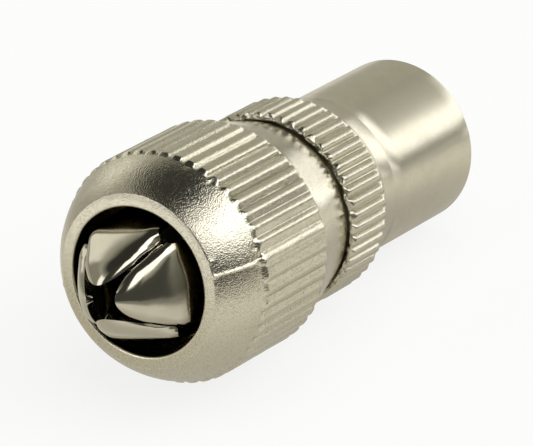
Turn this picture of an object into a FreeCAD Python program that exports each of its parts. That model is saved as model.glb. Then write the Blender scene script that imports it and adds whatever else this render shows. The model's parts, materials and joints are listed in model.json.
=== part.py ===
import FreeCAD, Part
import Sketcher
import math
import os
import re

# Coaxial plug with a screw-on clamping cap, lying on its side.
# Lengths are in millimetres and angles in degrees. Places along the plug are
# measured from the front face of the cap, where the cable goes in, towards
# the barrel. Every profile is drawn as (place along the axis, radius).

# Driving sizes. Each one is set here and nowhere else.
SIZES = {
    # what the plug fits: the socket's outer contact and its centre contact
    "barrel_radius": 4.75,
    "pin_radius": 1.2,
    # plug body
    "barrel_wall": 0.5,
    "barrel_length": 9.585,
    "barrel_edge": 0.2,
    "collar_step": 0.17,
    "collar_land": 0.10,
    "shoulder_length": 0.85,
    "ring_length": 3.31,
    "ring_height": 1.18,
    "ring_edge": 0.14,
    "ring_groove_depth": 0.24,
    "ring_groove_count": 48,
    "ring_groove_mouth": 3.2,
    "ring_groove_floor": 1.6,
    "rim_gap": 0.30,
    "thread_step": 0.25,
    "thread_clearance": 0.08,
    "spigot_wall": 0.9,
    "spigot_edge": 0.25,
    "spigot_gap": 0.40,
    # clamping cap
    "cap_length": 12.64,
    "nose_length": 2.43,
    "nose_curve": 6.0,
    "knurl_length": 6.26,
    "face_width": 0.73,
    "cap_wall": 1.97,
    "lead_drop": 0.22,
    "ridge_lead": 0.30,
    "tail_drop": 0.19,
    "ridge_tail": 0.40,
    "rim_wall": 0.61,
    "rim_edge": 0.12,
    "cap_groove_depth": 0.24,
    "cap_groove_count": 48,
    "cap_groove_mouth": 3.4,
    "cap_groove_floor": 1.4,
    "claw_seat": 4.35,
    "seat_lip": 0.43,
    # cable claw
    "sheet": 0.45,
    "mouth_clearance": 0.35,
    "flange_clearance": 0.18,
    "seat_clearance": 0.08,
    "slot_end": 3.6,
    "petal_span": 78.0,
    "petal_reach": 3.65,
    "petal_opening": 0.9,
    "tip_trim": 0.1,
    "petal_lean": 34.0,
    "bend_radius": 2.4,
    "dome_radius": 16.0,
    "claw_turn": -16.0,
    # insulator
    "socket_depth": 8.6,
    "insulator_flange": 2.7,
    "insulator_length": 6.0,
    "hub_width": 0.6,
    "hub_height": 0.5,
    # centre pin
    "pin_reach": 3.5,
    "pin_nose": 1.5,
    "pin_nose_curve": 2.2,
    "pin_tip_radius": 0.35,
    "shank_step": 0.30,
    "tail_step": 0.15,
    "tail_length": 2.6,
    "tail_wall": 1.05,
    "core_hole_depth": 14.0,
    # running on past an edge, so that a cut clears it
    "overrun": 0.8,
}

# Worked-out sizes. They follow the driving sizes.
WORKED_OUT = {
    # body, radii
    "barrel_bore": "barrel_radius - barrel_wall",
    "collar_radius": "barrel_radius + collar_step",
    "thread_radius": "barrel_radius - thread_step",
    "spigot_bore": "thread_radius - spigot_wall",
    "ring_radius": "thread_radius + ring_height",
    "ring_floor_radius": "ring_radius - ring_groove_depth",
    # cap
    "cap_bore": "thread_radius + thread_clearance",
    "mouth_radius": "cap_bore - seat_lip",
    "face_radius": "mouth_radius + face_width",
    "ridge_radius": "cap_bore + cap_wall",
    "shoulder_radius": "ridge_radius - lead_drop",
    "band_radius": "ridge_radius - tail_drop",
    "rim_radius": "cap_bore + rim_wall",
    "cap_floor_radius": "ridge_radius - cap_groove_depth",
    "knurl_end": "nose_length + knurl_length",
    # claw
    "claw_radius": "mouth_radius - mouth_clearance",
    "claw_bore": "claw_radius - sheet",
    "flange_radius": "cap_bore - flange_clearance",
    "flange_front": "claw_seat + seat_clearance",
    "flange_back": "flange_front + sheet",
    "petal_end_radius": "petal_opening - tip_trim",
    "lean_cos": "cos(petal_lean * 1 deg)",
    "lean_sin": "sin(petal_lean * 1 deg)",
    "bend_drop": "bend_radius * (1 - lean_cos)",
    "end_cos": "lean_cos - (claw_radius - bend_drop - petal_end_radius) / dome_radius",
    "end_sin": "sqrt(1 - end_cos * end_cos)",
    "dome_start": "dome_radius * (end_sin - lean_sin) - petal_reach",
    "bend_start": "dome_start + bend_radius * lean_sin",
    "half_span_sin": "sin(petal_span / 2 * 1 deg)",
    "petal_tip_curve": "petal_opening * half_span_sin / (1 - half_span_sin)",
    "tip_tangent": "petal_tip_curve / tan(petal_span / 2 * 1 deg)",
    # body, places
    "spigot_front": "flange_back + spigot_gap",
    "ring_front": "cap_length + rim_gap",
    "ring_back": "ring_front + ring_length",
    "shoulder_end": "ring_back + shoulder_length",
    "barrel_start": "shoulder_end + collar_land",
    "barrel_end": "barrel_start + barrel_length",
    "wall_end": "barrel_end - barrel_edge",
    # insulator and pin
    "insulator_front": "barrel_end - socket_depth",
    "insulator_seat": "insulator_front - insulator_flange",
    "insulator_back": "insulator_front - insulator_length",
    "shank_radius": "pin_radius + shank_step",
    "hub_radius": "shank_radius + hub_width",
    "pin_end": "barrel_end + pin_reach",
    "pin_back": "insulator_back - tail_length",
    "tail_radius": "shank_radius + tail_step",
    "core_hole": "tail_radius - tail_wall",
    # lying on its side: the back ends of the ridges and the barrel's rounded edge touch the table
    "rest_run": "wall_end - knurl_end + ridge_tail",
    "rest_drop": "ridge_radius - barrel_radius + barrel_edge",
    "rest_length": "sqrt(rest_run * rest_run + rest_drop * rest_drop)",
    "rest_tilt": "(atan(rest_drop / rest_run) - asin(barrel_edge / rest_length)) / 1 deg",
}

NAMES = sorted(list(SIZES) + list(WORKED_OUT))
FULL_TURN = 360


def make_sheet(document):
    """The spreadsheet: one row for each size, the driving ones as plain numbers."""
    sheet = document.addObject("Spreadsheet::Sheet", "Sizes")
    rows = [(name, str(value)) for name, value in SIZES.items()]
    rows += [(name, "=" + formula) for name, formula in WORKED_OUT.items()]
    for number, (name, text) in enumerate(rows, start=1):
        sheet.set("A%d" % number, name)
        sheet.set("B%d" % number, text)
        sheet.setAlias("B%d" % number, name)
    document.recompute()
    return sheet


def from_sheet(text):
    """The expression with each size's name pointing at its cell."""
    return re.sub(r"\b(%s)\b" % "|".join(NAMES), r"Sizes.\1", text)


def value(owner, text):
    """What an expression comes to, as a plain number."""
    result = owner.evalExpression(from_sheet(text))
    return float(getattr(result, "Value", result))


def new_body(document, name):
    """A body whose file takes its label as its name."""
    body = document.addObject("PartDesign::Body", name)
    body.Label = name
    return body


def new_sketch(body, name, role, along="0"):
    """A sketch on one of the body's own planes, moved off it by an expression."""
    sketch = body.newObject("Sketcher::SketchObject", name)
    plane = [item for item in body.Origin.OriginFeatures if item.Role == role][0]
    sketch.AttachmentSupport = [(plane, "")]
    sketch.MapMode = "FlatFace"
    sketch.setExpression("AttachmentOffset.Base.z", from_sheet(along))
    return sketch


def arc_between(start, finish, radius, side):
    """An arc from start to finish; side 1 has its centre on the left of the way, -1 on the right."""
    chord = finish - start
    rise = math.sqrt(max(radius * radius - chord.Length * chord.Length / 4, 0))
    across = FreeCAD.Vector(-chord.y, chord.x, 0).normalize()
    centre = (start + finish) / 2 + across * side * rise
    turns = [math.atan2(spot.y - centre.y, spot.x - centre.x) for spot in (start, finish)]
    circle = Part.Circle(centre, FreeCAD.Vector(0, 0, 1), radius)
    return Part.ArcOfCircle(circle, *(turns if side > 0 else turns[::-1]))


def draw_profile(sketch, corners):
    """A closed outline. A corner is (x, y), or (x, y, radius, side) where an arc leaves it."""
    spots = [FreeCAD.Vector(value(sketch, corner[0]), value(sketch, corner[1]), 0) for corner in corners]
    ends = []
    for corner, start, finish in zip(corners, spots, spots[1:] + spots[:1]):
        if len(corner) == 4:
            edge = arc_between(start, finish, value(sketch, corner[2]), corner[3])
        else:
            edge = Part.LineSegment(start, finish)
        number = sketch.addGeometry(edge)
        forward = sketch.Geometry[number].StartPoint.distanceToPoint(start) < 1e-6
        ends.append((number, 1 if forward else 2, 2 if forward else 1))
    for (number, _, last), (following, first, _) in zip(ends, ends[1:] + ends[:1]):
        sketch.addConstraint(Sketcher.Constraint("Coincident", number, last, following, first))
    for corner, spot, (number, first, _) in zip(corners, spots, ends):
        for kind, text, place in (("DistanceX", corner[0], spot.x), ("DistanceY", corner[1], spot.y)):
            rule = sketch.addConstraint(Sketcher.Constraint(kind, -1, 1, number, first, place))
            sketch.setExpression("Constraints[%d]" % rule, from_sheet(text))
        if len(corner) == 4:
            rule = sketch.addConstraint(Sketcher.Constraint("Radius", number, value(sketch, corner[2])))
            sketch.setExpression("Constraints[%d]" % rule, from_sheet(corner[2]))


def turned(body, name, corners):
    """A solid of revolution about the plug's axis."""
    sketch = new_sketch(body, name + "_profile", "XZ_Plane")
    draw_profile(sketch, corners)
    feature = body.newObject("PartDesign::Revolution", name)
    feature.Profile = sketch
    feature.ReferenceAxis = (sketch, ["H_Axis"])
    feature.Angle = FULL_TURN
    return feature


def cut_along(body, name, sketch, length):
    """A pocket that runs from the sketch towards the barrel."""
    feature = body.newObject("PartDesign::Pocket", name)
    feature.Profile = sketch
    feature.Type = "Length"
    feature.Reversed = True
    feature.setExpression("Length", from_sheet(length))
    return feature


def knurl(body, name, start, length, radius, floor, mouth, bottom, count):
    """Straight grooves round the axis: one is cut, and a polar pattern repeats it."""
    sketch = new_sketch(body, name + "_groove_outline", "YZ_Plane", start)
    beyond = "(%s + overrun)" % radius
    widen = "(%s / 2 + (%s - %s) / 2 * overrun / (%s - %s))" % (mouth, mouth, bottom, radius, floor)
    half_floor = "(%s / 2)" % bottom
    corners = []
    for size, angle, sign in ((beyond, widen, -1), (beyond, widen, 1), (floor, half_floor, 1), (floor, half_floor, -1)):
        turn = "((%s / 2 + %d * %s) * 1 deg)" % ("%d / %s" % (FULL_TURN, count), sign, angle)
        corners.append(("-%s * sin(%s)" % (size, turn), "%s * cos(%s)" % (size, turn)))
    draw_profile(sketch, corners)
    groove = cut_along(body, name + "_groove", sketch, length)
    pattern = body.newObject("PartDesign::PolarPattern", name + "_grooves")
    pattern.Originals = [groove]
    pattern.Axis = (sketch, ["N_Axis"])
    pattern.Angle = FULL_TURN
    pattern.setExpression("Occurrences", from_sheet(count))
    body.Tip = pattern
    return pattern


def make_cap(document):
    """The clamping cap: nose, knurled grip, bevelled band, threaded bore and seat for the claw."""
    body = new_body(document, "clamping_cap")
    turned(body, "cap_blank", [
        ("0", "mouth_radius"),
        ("0", "face_radius", "nose_curve", -1),
        ("nose_length", "shoulder_radius"),
        ("nose_length + ridge_lead", "ridge_radius"),
        ("knurl_end - ridge_tail", "ridge_radius"),
        ("knurl_end", "band_radius"),
        ("cap_length - rim_edge", "rim_radius + rim_edge * (band_radius - rim_radius) / (cap_length - knurl_end)"),
        ("cap_length", "rim_radius - rim_edge"),
        ("cap_length", "cap_bore + rim_edge"),
        ("cap_length - rim_edge", "cap_bore"),
        ("claw_seat", "cap_bore"),
        ("claw_seat", "mouth_radius"),
    ])
    knurl(body, "cap_knurl", "0", "knurl_end", "ridge_radius", "cap_floor_radius",
          "cap_groove_mouth", "cap_groove_floor", "cap_groove_count")
    return body


def make_claw(document):
    """The cable claw: a flanged sleeve slit into four fingers, whose ends lean in as petals."""
    body = new_body(document, "cable_claw")
    turned(body, "claw_blank", [
        ("flange_back", "claw_bore"),
        ("flange_back", "flange_radius"),
        ("flange_front", "flange_radius"),
        ("flange_front", "claw_radius"),
        ("bend_start", "claw_radius", "bend_radius", 1),
        ("dome_start", "claw_radius - bend_drop", "dome_radius", 1),
        ("-petal_reach", "petal_end_radius"),
        ("-petal_reach + sheet * end_sin", "petal_end_radius - sheet * end_cos", "dome_radius - sheet", -1),
        ("dome_start + sheet * lean_sin", "claw_radius - bend_drop - sheet * lean_cos",
         "bend_radius - sheet", -1),
        ("bend_start", "claw_bore"),
    ])
    sketch = new_sketch(body, "petal_outlines", "YZ_Plane", "-petal_reach - overrun")
    corners = []
    for quarter in range(4):
        middle = "%d + claw_turn" % (quarter * FULL_TURN / 4)
        for size, sign in (("(claw_radius + overrun)", -1), ("tip_tangent", -1),
                           ("tip_tangent", 1), ("(claw_radius + overrun)", 1)):
            turn = "((%s + %d * petal_span / 2) * 1 deg)" % (middle, sign)
            corner = ("-%s * sin(%s)" % (size, turn), "%s * cos(%s)" % (size, turn))
            if size == "tip_tangent" and sign < 0:
                corner += ("petal_tip_curve", -1)
            corners.append(corner)
    draw_profile(sketch, corners)
    cut_along(body, "slots", sketch, "petal_reach + overrun + slot_end")
    return body


def make_plug_body(document):
    """The plug body: threaded spigot, knurled ring, bevelled shoulder and hollow barrel."""
    body = new_body(document, "barrel_body")
    turned(body, "body_blank", [
        ("spigot_front", "spigot_bore"),
        ("spigot_front", "thread_radius - spigot_edge"),
        ("spigot_front + spigot_edge", "thread_radius"),
        ("ring_front", "thread_radius"),
        ("ring_front", "ring_radius - ring_edge"),
        ("ring_front + ring_edge", "ring_radius"),
        ("ring_back - ring_edge", "ring_radius"),
        ("ring_back", "ring_floor_radius"),
        ("shoulder_end", "collar_radius"),
        ("barrel_start", "barrel_radius"),
        ("wall_end", "barrel_radius", "barrel_edge", -1),
        ("barrel_end", "barrel_radius - barrel_edge"),
        ("barrel_end", "barrel_bore + rim_edge"),
        ("barrel_end - rim_edge", "barrel_bore"),
        ("insulator_seat", "barrel_bore"),
        ("insulator_seat", "spigot_bore"),
    ])
    knurl(body, "ring_knurl", "ring_front - overrun", "ring_length + overrun", "ring_radius",
          "ring_floor_radius", "ring_groove_mouth", "ring_groove_floor", "ring_groove_count")
    return body


def make_insulator(document):
    """The insulator: a stepped bush pressed into the body, with a hub round the pin."""
    body = new_body(document, "insulator")
    turned(body, "insulator_blank", [
        ("insulator_back", "shank_radius"),
        ("insulator_back", "spigot_bore"),
        ("insulator_seat", "spigot_bore"),
        ("insulator_seat", "barrel_bore"),
        ("insulator_front", "barrel_bore"),
        ("insulator_front", "hub_radius"),
        ("insulator_front + hub_height", "hub_radius"),
        ("insulator_front + hub_height", "shank_radius"),
    ])
    return body


def make_pin(document):
    """The centre pin: rounded nose, thicker shank in the insulator, and a hollow tail for the core."""
    body = new_body(document, "centre_pin")
    turned(body, "pin_blank", [
        ("pin_back", "core_hole"),
        ("pin_back", "tail_radius"),
        ("insulator_back", "tail_radius"),
        ("insulator_back", "shank_radius"),
        ("insulator_front + hub_height", "shank_radius"),
        ("insulator_front + hub_height", "pin_radius"),
        ("pin_end - pin_nose", "pin_radius", "pin_nose_curve", -1),
        ("pin_end", "pin_tip_radius"),
        ("pin_end", "0"),
        ("pin_back + core_hole_depth", "0"),
        ("pin_back + core_hole_depth", "core_hole"),
    ])
    return body


def lay_down(body):
    """Tilt the plug about the centre of the barrel's end, which is the origin, as it lies."""
    body.Placement = FreeCAD.Placement(FreeCAD.Vector(), FreeCAD.Rotation(FreeCAD.Vector(0, 1, 0), 1))
    body.setExpression("Placement.Rotation.Angle", from_sheet("rest_tilt"))
    body.setExpression("Placement.Base.x", from_sheet("-wall_end * cos(rest_tilt * 1 deg)"))
    body.setExpression("Placement.Base.z", from_sheet("wall_end * sin(rest_tilt * 1 deg)"))


def check(document, bodies):
    """Stop if any object failed to compute or a sub-part has no valid single solid."""
    failed = [item.Name for item in document.Objects if {"Invalid", "Error"} & set(item.State)]
    if failed:
        raise RuntimeError("failed objects: " + ", ".join(failed))
    for body in bodies:
        shape = body.Shape
        if shape.isNull() or not shape.isValid() or len(shape.Solids) != 1:
            raise RuntimeError("bad shape: " + body.Label)


def main():
    document = FreeCAD.newDocument("coaxial_plug")
    make_sheet(document)
    makers = (make_cap, make_claw, make_plug_body, make_insulator, make_pin)
    bodies = [maker(document) for maker in makers]
    for body in bodies:
        lay_down(body)
    document.recompute()
    check(document, bodies)
    os.makedirs("parts", exist_ok=True)
    for body in bodies:
        body.Shape.exportStep("parts/%s.step" % body.Label)
        print("%-14s %8.2f mm3" % (body.Label, body.Shape.Volume))


main()
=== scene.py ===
"""The looks of a metal coaxial plug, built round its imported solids.

Sizes are in millimetres. A place along the plug is measured from the front face of the clamping cap
towards the barrel, an outline is drawn as (place along the axis, radius), and a turn round the axis
is in degrees from straight up. A Placing carries all of it into the frame, which is in metres.
"""

import json
import logging
import math
from collections.abc import Sequence
from dataclasses import dataclass, field
from enum import Enum

import bmesh
import bpy
from mathutils import Matrix, Vector, noise

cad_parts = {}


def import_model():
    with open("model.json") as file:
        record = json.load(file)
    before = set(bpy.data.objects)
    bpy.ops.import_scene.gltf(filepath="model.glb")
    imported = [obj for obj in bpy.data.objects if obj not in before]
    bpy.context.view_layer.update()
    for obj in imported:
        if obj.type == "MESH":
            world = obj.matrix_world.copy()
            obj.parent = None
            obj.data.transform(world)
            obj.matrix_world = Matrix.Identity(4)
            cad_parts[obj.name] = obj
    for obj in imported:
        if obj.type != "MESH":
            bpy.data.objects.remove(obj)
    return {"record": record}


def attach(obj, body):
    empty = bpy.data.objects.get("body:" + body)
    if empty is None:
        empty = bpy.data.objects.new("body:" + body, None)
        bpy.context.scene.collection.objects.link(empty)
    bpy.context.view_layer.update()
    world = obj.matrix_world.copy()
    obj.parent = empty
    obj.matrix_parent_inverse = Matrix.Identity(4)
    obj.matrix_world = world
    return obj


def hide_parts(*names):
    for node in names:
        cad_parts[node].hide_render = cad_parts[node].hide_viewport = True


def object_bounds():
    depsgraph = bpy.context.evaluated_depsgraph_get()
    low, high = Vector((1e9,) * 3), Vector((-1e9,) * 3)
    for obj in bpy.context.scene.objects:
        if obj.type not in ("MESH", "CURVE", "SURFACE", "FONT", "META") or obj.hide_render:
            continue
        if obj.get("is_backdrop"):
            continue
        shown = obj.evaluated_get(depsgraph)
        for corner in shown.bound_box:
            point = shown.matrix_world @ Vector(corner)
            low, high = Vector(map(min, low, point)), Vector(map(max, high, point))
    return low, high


MM = 0.001
FULL_TURN = 2 * math.pi
ORIGIN = (0.0, 0.0, 0.0)
PLUG_AXIS = (1.0, 0.0, 0.0)

Pair = tuple[float, float]
Tone = tuple[float, float, float]
Colour = tuple[float, float, float, float]
Sockets = bpy.types.bpy_prop_collection

WHITE = (1.0, 1.0, 1.0, 1.0)

log = logging.getLogger("coaxial_plug")


class Finish(Enum):
    """The finishes of the plug; each value is the record's material slot."""

    CAST = "cap_plating"
    PRESSED = "claw_plating"
    TURNED = "body_plating"
    MOULDED = "insulator_plastic"
    BRIGHT = "pin_plating"


@dataclass(frozen=True)
class Placing:
    """Where the plug lies in the frame.

    mouth is the centre of the cap's front face in metres, and dip is how far the axis points below
    the level, in radians.
    """

    mouth: Vector
    dip: float

    @classmethod
    def from_record(cls, record: dict) -> "Placing":
        """Read the plug's place from its mounts.

        Args:
            record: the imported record.

        Returns:
            The placing of the plug.
        """
        mounts = {mount["name"]: mount for mount in record["mounts"]}
        axis = Vector(mounts["barrel"]["axis"])
        return cls(Vector(mounts["cable_entry"]["pos_m"]), math.atan2(-axis.z, axis.x))

    def matrix(self) -> Matrix:
        """Return the matrix from the plug's millimetres to the frame's metres."""
        return Matrix.Translation(self.mouth) @ Matrix.Rotation(self.dip, 4, "Y") @ Matrix.Scale(MM, 4)

    def back(self) -> Matrix:
        """Return the matrix from the frame's metres to the plug's millimetres."""
        return self.matrix().inverted()


@dataclass(frozen=True)
class Corner:
    """A corner of an outline, with the radius it is rounded to."""

    along: float
    radius: float
    rounding: float = 0.0
    pieces: int = 4


def arc_corners(start: Corner, finish: Corner, radius: float, pieces: int) -> list[Corner]:
    """Corners along an arc that bulges away from the axis.

    Args:
        start: where the arc begins; it isn't repeated.
        finish: where the arc ends; it isn't repeated.
        radius: the arc's own radius.
        pieces: how many straight pieces the arc has.

    Returns:
        The corners between the two ends.
    """
    first = Vector((start.along, start.radius))
    last = Vector((finish.along, finish.radius))
    chord = last - first
    away = Vector((-chord.y, chord.x)).normalized()
    centre = (first + last) / 2 - away * math.sqrt(radius**2 - chord.length_squared / 4)
    turns = [math.atan2(spot.y - centre.y, spot.x - centre.x) for spot in (first, last)]
    found = []
    for step in range(1, pieces):
        turn = turns[0] + (turns[1] - turns[0]) * step / pieces
        spot = centre + Vector((math.cos(turn), math.sin(turn))) * radius
        found.append(Corner(spot.x, spot.y))
    return found


def straight_corners(start: Corner, finish: Corner, pieces: int) -> list[Corner]:
    """Corners that divide a straight run, without its two ends."""
    along = finish.along - start.along
    rise = finish.radius - start.radius
    shares = [step / pieces for step in range(1, pieces)]
    return [Corner(start.along + along * share, start.radius + rise * share) for share in shares]


def rounded(corners: Sequence[Corner]) -> list[Vector]:
    """Round the corners of a closed outline.

    Args:
        corners: the outline's corners in order.

    Returns:
        The outline's points as (place, radius).
    """
    places = [Vector((corner.along, corner.radius)) for corner in corners]
    points: list[Vector] = []
    for number, corner in enumerate(corners):
        here = places[number]
        back = places[number - 1] - here
        ahead = places[(number + 1) % len(places)] - here
        if not corner.rounding:
            points.append(here)
            continue
        opening = back.angle(ahead)
        cut = min(corner.rounding / math.tan(opening / 2), 0.49 * back.length, 0.49 * ahead.length)
        inward = (back.normalized() + ahead.normalized()).normalized()
        centre = here + inward * (cut / math.cos(opening / 2))
        first = here + back.normalized() * cut - centre
        last = here + ahead.normalized() * cut - centre
        for step in range(corner.pieces + 1):
            points.append(centre + first.slerp(last, step / corner.pieces) * first.length)
    return points


def swing(
    mesh: bmesh.types.BMesh,
    geometry: list,
    angle: float,
    steps: int,
    copies: bool = False,
    advance: float = 0.0,
) -> list:
    """Swing geometry round the plug's axis.

    Args:
        mesh: the mesh that holds the geometry.
        geometry: its vertices, edges and faces to swing.
        angle: how far they swing, in radians.
        steps: how many steps that takes.
        copies: whether each step leaves a copy, and not a swept surface.
        advance: how far each step moves along the axis.

    Returns:
        The geometry of the last step.
    """
    made = bmesh.ops.spin(
        mesh,
        geom=geometry,
        cent=ORIGIN,
        axis=PLUG_AXIS,
        dvec=(advance, 0.0, 0.0),
        angle=angle,
        steps=steps,
        use_merge=False,
        use_duplicate=copies,
    )
    return made["geom_last"]


def spun(points: Sequence[Vector], columns: int, repeats: int, is_open: bool = False) -> bmesh.types.BMesh:
    """Spin an outline round the plug's axis.

    Args:
        points: the outline as (place, radius).
        columns: how many steps each repeat has.
        repeats: how many times the first stretch is repeated to fill the turn.
        is_open: whether the outline starts and ends on the axis instead of closing on itself.

    Returns:
        The closed mesh, with its faces pointing outwards.
    """
    mesh = bmesh.new()
    ring = [mesh.verts.new((point.x, 0.0, point.y)) for point in points]
    pairs = list(zip(ring, ring[1:]))
    if not is_open:
        pairs.append((ring[-1], ring[0]))
    stretch = FULL_TURN / repeats
    swing(mesh, ring + [mesh.edges.new(pair) for pair in pairs], stretch, columns)
    first = mesh.verts[:] + mesh.edges[:] + mesh.faces[:]
    swing(mesh, first, FULL_TURN - stretch, repeats - 1, copies=True)
    bmesh.ops.remove_doubles(mesh, verts=mesh.verts, dist=2e-4)
    bmesh.ops.recalc_face_normals(mesh, faces=mesh.faces)
    return mesh


def turn_of(place: Vector) -> float:
    """Return how far round the axis a place is, in degrees from straight up."""
    return math.degrees(math.atan2(-place.y, place.z)) % 360


def radius_of(place: Vector) -> float:
    """Return how far a place is from the axis."""
    return math.hypot(place.y, place.z)


def set_radius(vert: bmesh.types.BMVert, radius: float) -> None:
    """Move a vertex straight out from the axis, or in."""
    scale = radius / max(radius_of(vert.co), 1e-9)
    vert.co.y *= scale
    vert.co.z *= scale


def smooth_step(value: float, low: float, high: float) -> float:
    """Rise smoothly from 0 at low to 1 at high."""
    share = min(max((value - low) / (high - low), 0.0), 1.0)
    return share * share * (3 - 2 * share)


def turn_between(place: Vector, turn: float) -> float:
    """Return how far round the axis a place is past a turn, from -180 to 180 degrees."""
    return (turn_of(place) - turn + 180) % 360 - 180


def soft_min(first: float, second: float, blend: float) -> float:
    """Return the smaller of two values, rounding the change from one to the other over blend."""
    near = max(blend - abs(first - second), 0.0)
    return min(first, second) - near * near / (4 * blend)


@dataclass(frozen=True)
class Wave:
    """A smooth random unevenness, of a given height and size across."""

    height: float
    size: float
    seed: float = 0.0

    def lift_at(self, place: Vector) -> float:
        """Return how far the surface is raised at a place."""
        shift = Vector((self.seed, -self.seed, 2 * self.seed))
        return self.height * noise.noise(place / self.size + shift)


@dataclass(frozen=True)
class Knurl:
    """Straight ridges along a part, with a groove between each two.

    A cast part's ridges lean with their mould: the side that faces the way the mould pulls away is
    steep, and the other is no steeper than lets the mould go. parting is the turn of such a mould's
    parting line, and it is left out for ridges that are rolled. columns holds where the mesh has
    its columns over one pitch, in shares of the pitch from the middle of the ridge. rounding and
    crown are how softly the flanks meet each other and the tops, wander is how far the ridges stray
    from their true height, and soiling is how much the grooves are darkened: painted
    shade where the grooves lie in shadow, together with their dirt.
    """

    count: int
    top_radius: float
    floor_radius: float
    front: Pair
    back: Pair
    end_rise: Pair
    floor_share: float
    steep: float
    columns: tuple[float, ...]
    parting: float | None = None
    lean_limits: Pair = (72.0, 85.0)
    wander: float = 0.012
    rounding: float = 0.32
    soiling: float = 0.7
    crown: float = 0.2
    RIDGE_STEP = 1.7
    WANDER_LENGTH = 2.0
    FULL_WANDER = 0.2
    DENTS = Wave(0.5, 0.45, 9.0)

    def pull(self, turn: float) -> float:
        """Return how far a turn is from the nearest way the mould pulls, in degrees with a sign."""
        return (turn - self.parting) % 180 - 90 if self.parting is not None else 1.0

    def settle_columns(self, mesh: bmesh.types.BMesh) -> None:
        """Shift the evenly spun columns to the places that a ridge's shape needs.

        Args:
            mesh: the spun part.
        """
        steps = len(self.columns)
        mirrored = [self.columns[0]] + [-share for share in self.columns[:0:-1]]
        for vert in mesh.verts:
            number = round(turn_of(vert.co) / 360 * self.count * steps) % (self.count * steps)
            ridge, column = divmod(number, steps)
            shares = self.columns if self.pull((ridge + 0.5) * 360 / self.count) > 0 else mirrored
            turn = math.radians((ridge + 0.5 + shares[column]) * 360 / self.count)
            radius = radius_of(vert.co)
            vert.co.y = -radius * math.sin(turn)
            vert.co.z = radius * math.cos(turn)

    def height_share(self, place: Vector) -> float:
        """Work out how high the ridges' surface is at a place.

        Args:
            place: the place, of which only the turn round the axis matters.

        Returns:
            The height: 0 on the grooves' floor and 1 on the ridges' tops.
        """
        turn = turn_of(place)
        pull = self.pull(turn)
        across = (turn / 360 * self.count) % 1 - 0.5
        if pull < 0:
            across = -across
        limit = self.lean_limits[int((turn - (self.parting or 0.0)) % 360 < 180)]
        gentle = math.tan(math.radians(min(max(abs(pull), self.steep), limit)))
        steep = math.tan(math.radians(self.steep))
        pitch = FULL_TURN * self.top_radius / self.count / (self.top_radius - self.floor_radius)
        rise = (across + 0.5 - self.floor_share / 2) * pitch / steep
        fall = (0.5 - self.floor_share / 2 - across) * pitch / gentle
        middle = (1 - self.floor_share) * pitch / (steep + gentle)
        blend = self.rounding * pitch * (1 / steep + 1 / gentle)
        reached = min(middle - blend / 4, 1.0)
        shape = soft_min(soft_min(rise, fall, blend), 1.0, self.crown)
        return max(shape, 0.0) + 1 - reached

    def floor_at(self, along: float) -> float:
        """Return the radius of the grooves' floor at a place along the axis."""
        front = self.end_rise[0] * (1 - smooth_step(along, *self.front))
        return self.floor_radius + front + self.end_rise[1] * smooth_step(along, *self.back)

    def wander_at(self, place: Vector) -> float:
        """Return how far a ridge strays from its true height at a place."""
        ridge = math.floor(turn_of(place) / 360 * self.count)
        whole = noise.noise(Vector((ridge * self.RIDGE_STEP, place.x / self.WANDER_LENGTH, 5.0)))
        return self.wander * whole + self.wander * self.DENTS.lift_at(place)

    def cut(self, points: Sequence[Vector]) -> bmesh.types.BMesh:
        """Spin a part's outline and sink the grooves between its ridges.

        Args:
            points: the part's outline as (place, radius).

        Returns:
            The part's mesh. Its layer "hollow" says how deep each vertex lies in a groove, for the painted
            shade and the dirt of the grooves, and its layer "polish" is ready to be filled.
        """
        mesh = spun(points, len(self.columns), self.count)
        for name in ("hollow", "polish"):
            mesh.verts.layers.float.new(name)
        hollow = mesh.verts.layers.float["hollow"]
        self.settle_columns(mesh)
        for vert in mesh.verts:
            radius = radius_of(vert.co)
            tall = radius - self.floor_at(vert.co.x)
            if tall <= 0 or not self.front[0] <= vert.co.x <= self.back[1]:
                continue
            share = self.height_share(vert.co)
            # painted shade and dirt: the deeper a vertex lies in a groove, the darker its colour
            vert[hollow] = self.soiling * (1 - min(share, 1.0)) ** 3
            lift = self.wander_at(vert.co) * min(tall / self.FULL_WANDER, 1.0)
            set_radius(vert, radius - tall * (1 - share) + lift)
        return mesh


@dataclass(frozen=True)
class Thread:
    """A helical ridge on a wall; it points away from the axis where crest is more than root."""

    start: float
    end: float
    root: float
    crest: float
    pitch: float = 0.75
    foot: float = 0.30
    top: float = 0.08
    sunk: float = 0.06
    steps_a_turn: int = 60

    def add_to(self, mesh: bmesh.types.BMesh) -> None:
        """Add the ridge to a part as a closed helix, fading at its two ends.

        Args:
            mesh: the part's mesh.
        """
        side = 1 if self.crest > self.root else -1
        base = self.root - side * self.sunk
        section = ((-self.foot, base), (-self.top, self.crest), (self.top, self.crest), (self.foot, base))
        helix = bmesh.new()
        ring = [helix.verts.new((self.start + x, 0.0, radius)) for x, radius in section]
        edges = [helix.edges.new(pair) for pair in zip(ring, ring[1:] + ring[:1])]
        turns = (self.end - self.start) / self.pitch
        steps = round(turns * self.steps_a_turn)
        swept = swing(helix, ring + edges, FULL_TURN * turns, steps, advance=self.pitch / self.steps_a_turn)
        last = [item for item in swept if isinstance(item, bmesh.types.BMEdge)]
        for vert in helix.verts:
            near_end = min(vert.co.x - self.start + self.foot, self.end + self.foot - vert.co.x)
            fade = smooth_step(near_end, 0.0, self.pitch)
            set_radius(vert, base + (radius_of(vert.co) - base) * fade)
        bmesh.ops.contextual_create(helix, geom=edges)
        bmesh.ops.contextual_create(helix, geom=last)
        bmesh.ops.recalc_face_normals(helix, faces=helix.faces)
        carried = bpy.data.meshes.new("thread")
        helix.to_mesh(carried)
        helix.free()
        mesh.from_mesh(carried)
        bpy.data.meshes.remove(carried)


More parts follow.
